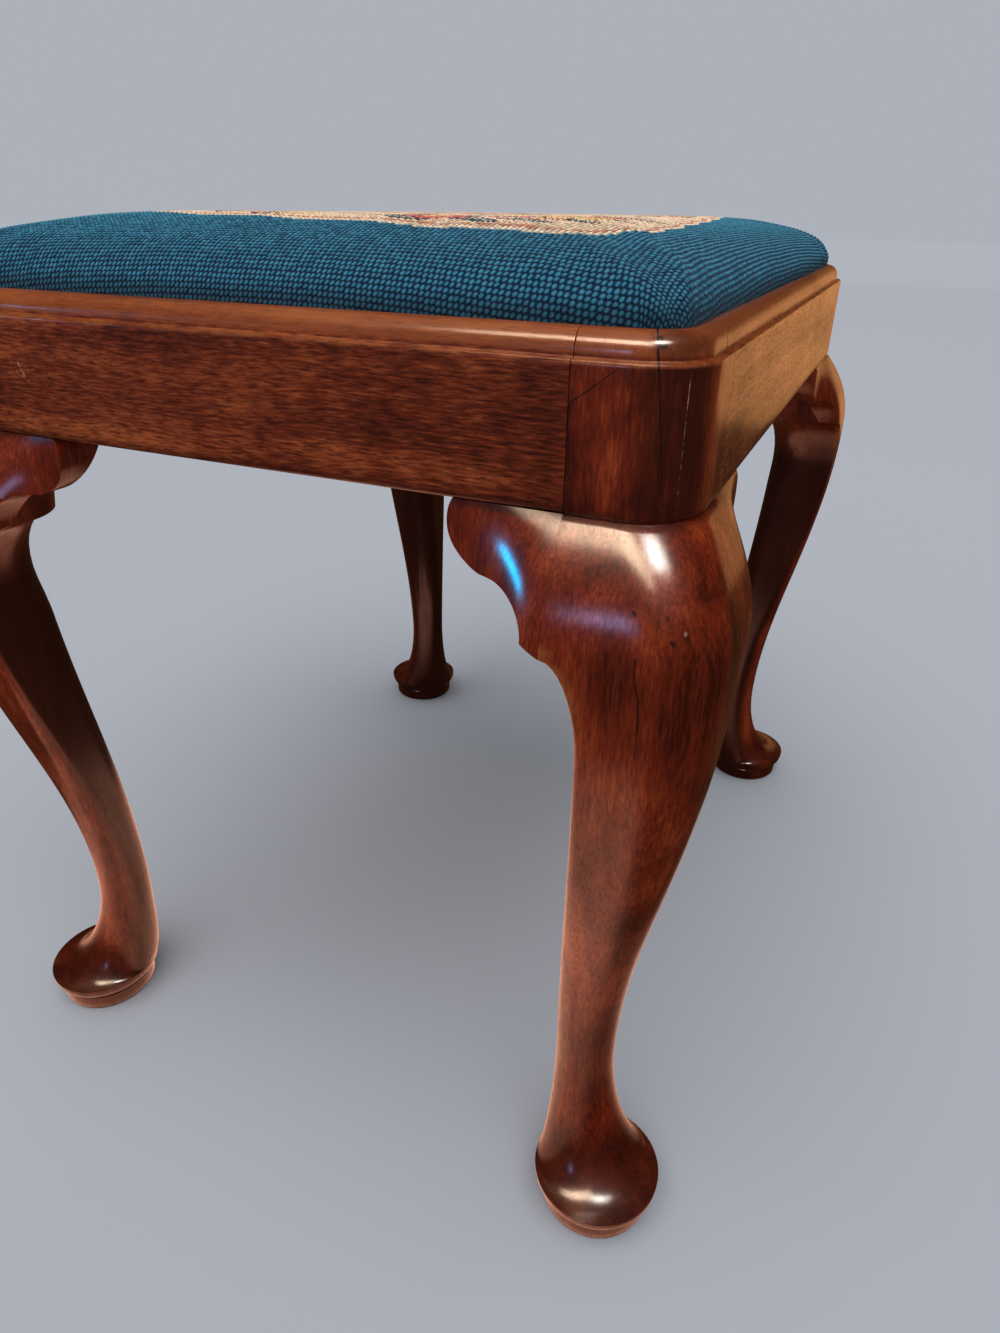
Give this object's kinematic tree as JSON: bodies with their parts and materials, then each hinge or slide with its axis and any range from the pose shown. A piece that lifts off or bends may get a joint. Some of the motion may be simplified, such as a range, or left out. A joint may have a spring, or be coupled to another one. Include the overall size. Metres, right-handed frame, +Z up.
{
  "type": "upholstered stool",
  "caption": "Low rectangular stool with cabriole legs on pad feet, scrolled knee brackets, moulded seat rails and a lift-out seat covered in needlework.",
  "frame": {"origin": "on the floor under the middle of the stool", "axes": "+X along the short rails, +Y along the long rails, +Z up"},
  "size_m": [0.406, 0.504, 0.458],
  "materials": {
    "mahogany": "old glossy polish, worn at the edges",
    "pine": "bare, darkened",
    "beech": "bare",
    "webbing": "woven jute",
    "hessian": "plain woven",
    "horsehair": "felted",
    "needlework": "wool tent stitch"
  },
  "bodies": {
    "stool_frame": {"leg_front_left": "mahogany", "leg_front_right": "mahogany", "leg_rear_left": "mahogany", "leg_rear_right": "mahogany", "seat_rail_front": "mahogany", "seat_rail_right": "mahogany", "seat_rail_rear": "mahogany", "seat_rail_left": "mahogany", "knee_bracket_front_a": "mahogany", "knee_bracket_front_b": "mahogany", "knee_bracket_right_a": "mahogany", "knee_bracket_right_b": "mahogany", "knee_bracket_rear_a": "mahogany", "knee_bracket_rear_b": "mahogany", "knee_bracket_left_a": "mahogany", "knee_bracket_left_b": "mahogany", "corner_block_front_left": "pine", "corner_block_front_right": "pine", "corner_block_rear_left": "pine", "corner_block_rear_right": "pine"},
    "drop_in_seat": {"seat_frame_front": "beech", "seat_frame_rear": "beech", "seat_frame_left": "beech", "seat_frame_right": "beech", "webbing_long_1": "webbing", "webbing_long_2": "webbing", "webbing_long_3": "webbing", "webbing_short_1": "webbing", "webbing_short_2": "webbing", "webbing_short_3": "webbing", "webbing_short_4": "webbing", "hessian": "hessian", "stuffing": "horsehair", "needlework_cover": "needlework"}
  },
  "joints": [
    {"name": "seat_lift", "type": "slide", "parent": "stool_frame", "child": "drop_in_seat", "axis": [0, 0, 1], "range_m": [0, 0.08]}
  ]
}
